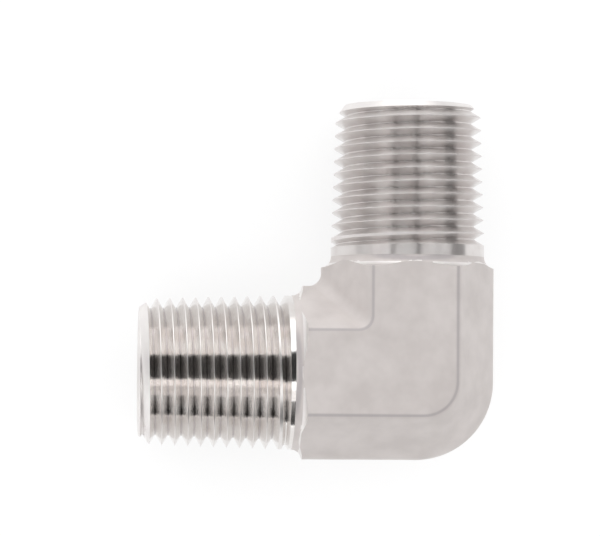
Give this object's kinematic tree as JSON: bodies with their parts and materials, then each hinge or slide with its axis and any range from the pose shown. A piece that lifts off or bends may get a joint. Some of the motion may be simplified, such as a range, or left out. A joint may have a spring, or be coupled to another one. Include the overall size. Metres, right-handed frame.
{
  "type": "hydraulic elbow adapter",
  "caption": "Right-angle pipe elbow with a tapered male pipe thread on each port, wrench flats front and back and a bore through both legs.",
  "frame": {"origin": "on the back wrench flat, straight behind the crossing of the two port axes", "axes": "+Z out of the front wrench flat, +Y along the rise port towards its end, -X along the run port towards its end"},
  "size_m": [0.05, 0.05, 0.0222],
  "materials": {
    "stainless_steel": "satin"
  },
  "bodies": {
    "root": {"elbow_body": "stainless_steel"}
  },
  "joints": []
}
